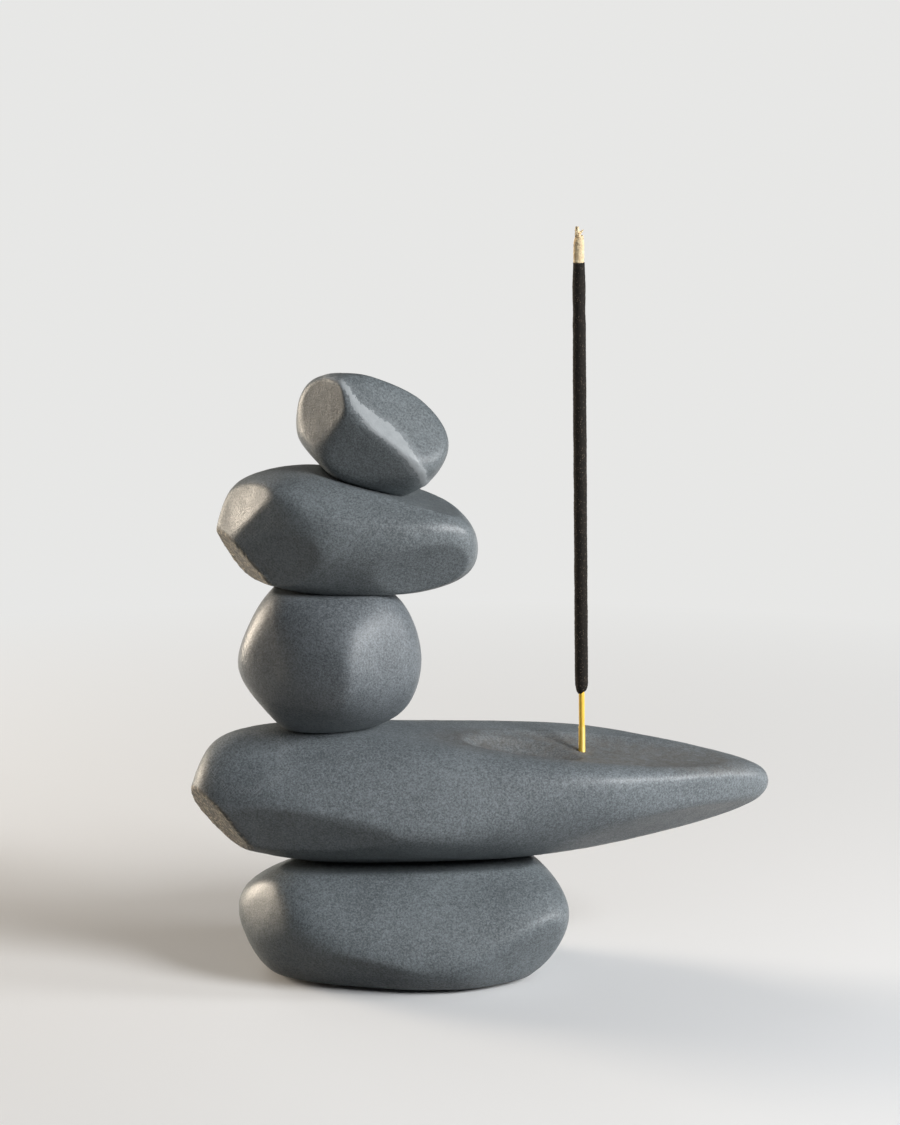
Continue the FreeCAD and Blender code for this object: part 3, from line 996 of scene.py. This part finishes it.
def hornInto(bm, foot, tip, radius, tipRadius):
    # a cone that stands in the ash's body, in millimetres
    foot, tip = Vector(foot), Vector(tip)
    run = tip - foot
    made = bmesh.ops.create_cone(bm, cap_ends=True, segments=14, radius1=radius * mm, radius2=tipRadius * mm,
                                 depth=run.length * mm)["verts"]
    turn = run.to_track_quat("Z", "Y").to_matrix().to_4x4()
    bmesh.ops.transform(bm, matrix=Matrix.Translation((foot + tip) / 2 * mm) @ turn, verts=made)


def makeAsh(place, foot, top):
    # burnt paste that still stands: a crumbly cylinder whose top is broken into horns
    radius, body = ash["radius"], ash["body"]
    profile = [(0, 0), (radius - 0.1, 0), (radius, 0.15), (radius, body * 0.5), (radius - 0.04, body - 0.5),
               (radius - 0.25, body - 0.1), (0.55, body - 0.7), (0, body - 0.9)]
    bm = turnedMesh(profile, ash["segments"])
    for vert in bm.verts:
        # the left shoulder has crumbled away to a slope
        if vert.co.z > (body - 1.3) * mm and vert.co.x < 0:
            vert.co.z -= min(ash["slump"], 1.5 * -vert.co.x / (radius * mm)) * mm
    for horn in ash["horns"]:
        hornInto(bm, *horn)
    piece = linkObject("ash_crumb", meshFrom(bm, "ash_crumb"))
    voxelRemesh(piece, ash["voxel"] * mm)
    bm = bmesh.new()
    bm.from_mesh(piece.data)
    smoothPasses(bm, 2)
    bm.normal_update()
    limit = top - foot - ash["topGap"]
    moves = []
    for vert in bm.verts:
        spot = vert.co / mm
        loose = 0.55 + 0.9 * smoothStep(body - 2.2, body, spot.z)   # crumblier towards the top
        rough = noise.fractal(spot / 0.9, 0.7, 2.2, 4)
        flake = noise.noise(Vector((spot.x / 0.5, spot.y / 0.5, spot.z / 0.22)))
        depth = ash["rough"] * (rough - 0.4) + ash["flake"] * flake
        move = vert.normal * depth * loose * smoothStep(0, 0.4, spot.z)
        moves.append(move * mm)
    for vert, move in zip(bm.verts, moves):
        vert.co += move
        vert.co.z = min(vert.co.z, limit * mm)
    bmesh.ops.translate(bm, vec=(0, 0, foot * mm), verts=bm.verts)
    bmesh.ops.transform(bm, matrix=place, verts=bm.verts)
    bm.to_mesh(piece.data)
    bm.free()
    finished(piece, "stick", "ash_tip", ashMaterial())


def ashMaterial():
    material, tree, shader = startMaterial("incense_ash")
    place = objectPlace(tree)
    powder = noiseNode(tree, place, 2600, 5, 0.7)
    flakes = noiseNode(tree, objectPlace(tree, (0, 0, 0), (700, 700, 1900)), 1.0, 4, 0.6, 0.8)
    colour = mixColours(tree, spread(tree, flakes, 0.36, 0.66), ash["warm"], ash["pale"])
    colour = mixColours(tree, spread(tree, powder, 0.52, 0.68, 0.0, 0.7), colour, ash["speck"])
    tree.links.new(colour, shader.inputs["Base Color"])
    shader.inputs["Roughness"].default_value = 0.95
    shader.inputs["Specular IOR Level"].default_value = 0.15
    bumpInto(tree, shader, add(tree, powder, flakes), *ash["bump"])
    return material


def makeStick():
    place, axis, foot = stickFrame()
    coreTop = heightOnStick(foot, axis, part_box("bamboo_core")[1].z)
    coatFoot = heightOnStick(foot, axis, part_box("incense_coating")[0].z)
    coatTop = heightOnStick(foot, axis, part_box("ash_tip")[0].z)
    ashTop = heightOnStick(foot, axis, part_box("ash_tip")[1].z)
    makeSplint(place, coreTop)
    makePaste(place, coatFoot, coatTop)
    makeAsh(place, coatTop, ashTop)


stage = {
    "floor": (0.84, 0.84, 0.84, 1),
    "bounce": (0.09, 0.09, 0.09, 1),     # how much of the light the floor throws back up
    "backdrop": (0.80, 0.80, 0.79, 1),
    "fadeFrom": 0.13,         # from the object's middle, where the floor turns into the backdrop
    "fadeTo": 0.39,
    "sky": (0.052, 0.053, 0.055, 1),
}

# turn and rise from the object's front, distance, size, watts, colour
lamps = {
    "key": (45, 25, 0.95, 0.42, 9.4, (0.97, 0.985, 1.0)),
    "edge": (76, 12, 0.90, 0.26, 4.0, (0.97, 0.985, 1.0)),
    "rim": (-128, 7, 0.85, 0.34, 7.4, (1.0, 0.87, 0.71)),
    "fill": (4, 36, 1.6, 0.9, 1.0, (1.0, 1.0, 1.0)),
    "back": (-152, 34, 1.3, 0.8, 2.2, (1.0, 1.0, 1.0)),
}

cameraSet = {
    "turn": -10,
    "rise": 12,
    "distance": 1.1,
    "sensor": 36,
    "fieldHeight": 0.25875,   # what the view's height spans at the object
    "aside": -0.0072,         # from the middle of the object to the middle of the view
    "above": 0.0086,
    "nearer": -0.0133,
}


def seenRays(tree, *names):
    path = addNode(tree, "LightPath")
    return highest(tree, [path.outputs[name] for name in names])


def makeStage():
    bm = bmesh.new()
    bmesh.ops.create_circle(bm, cap_ends=True, segments=96, radius=9.0)
    floor = linkObject("floor", meshFrom(bm, "floor"))
    material, tree, shader = startMaterial("floor_paper")
    shader.inputs["Roughness"].default_value = 0.9
    shader.inputs["Specular IOR Level"].default_value = 0.2
    seen = seenRays(tree, "Is Camera Ray", "Is Glossy Ray", "Is Transmission Ray")
    tree.links.new(mixColours(tree, seen, stage["bounce"], stage["floor"]), shader.inputs["Base Color"])
    # away from the object the floor turns into an even backdrop
    away = addNode(tree, "VectorMath", {0: addNode(tree, "TexCoord").outputs["Object"]}, operation="LENGTH")
    far = times(tree, spread(tree, away.outputs["Value"], stage["fadeFrom"], stage["fadeTo"]), seen)
    backdrop = addNode(tree, "Emission", {"Color": stage["backdrop"], "Strength": 1.0})
    both = addNode(tree, "MixShader", {0: far, 1: shader.outputs[0], 2: backdrop.outputs[0]})
    tree.links.new(both.outputs[0], tree.nodes["Material Output"].inputs["Surface"])
    floor.data.materials.append(material)


def makeWorld():
    world = bpy.data.worlds.new("studio")
    world.use_nodes = True
    tree = world.node_tree
    seen = seenRays(tree, "Is Camera Ray", "Is Transmission Ray")
    sky = tree.nodes["Background"]
    tree.links.new(mixColours(tree, seen, stage["sky"], stage["backdrop"]), sky.inputs["Color"])
    sky.inputs["Strength"].default_value = 1.0
    bpy.context.scene.world = world


def aroundObject(turn, rise):
    # the middle of the object, and the direction from it to a lamp or the camera
    low, high = cadBox
    turn, rise = math.radians(turn), math.radians(rise)
    back = Vector((math.sin(turn) * math.cos(rise), -math.cos(turn) * math.cos(rise), math.sin(rise)))
    return (low + high) / 2, back


def makeLights():
    for name, (turn, rise, distance, size, watts, colour) in lamps.items():
        centre, back = aroundObject(turn, rise)
        data = bpy.data.lights.new(name, "AREA")
        data.shape = "DISK"
        data.size = size
        data.energy = watts
        data.color = colour
        lamp = bpy.data.objects.new(name, data)
        lamp.location = centre + back * distance
        lamp.rotation_euler = back.to_track_quat("Z", "Y").to_euler()
        bpy.context.scene.collection.objects.link(lamp)


def makeCamera():
    centre, back = aroundObject(cameraSet["turn"], cameraSet["rise"])
    turn = math.radians(cameraSet["turn"])
    right = Vector((math.cos(turn), math.sin(turn), 0))
    up = back.cross(right)
    aim = centre + right * cameraSet["aside"] + up * cameraSet["above"] + back * cameraSet["nearer"]
    data = bpy.data.cameras.new("camera")
    data.sensor_width = cameraSet["sensor"]
    data.lens = data.sensor_width * cameraSet["distance"] / cameraSet["fieldHeight"]
    camera = bpy.data.objects.new("camera", data)
    turned = Matrix((right, up, back)).transposed().to_4x4()
    camera.matrix_world = Matrix.Translation(aim + back * cameraSet["distance"]) @ turned
    bpy.context.scene.collection.objects.link(camera)
    bpy.context.scene.camera = camera


makeStage()
makeWorld()
makeLights()
makeCamera()
bpy.context.scene.view_settings.view_transform = "Standard"
print("stage, lights and camera ready")
makeStones()
makePad()
finishDowels()
makeStick()
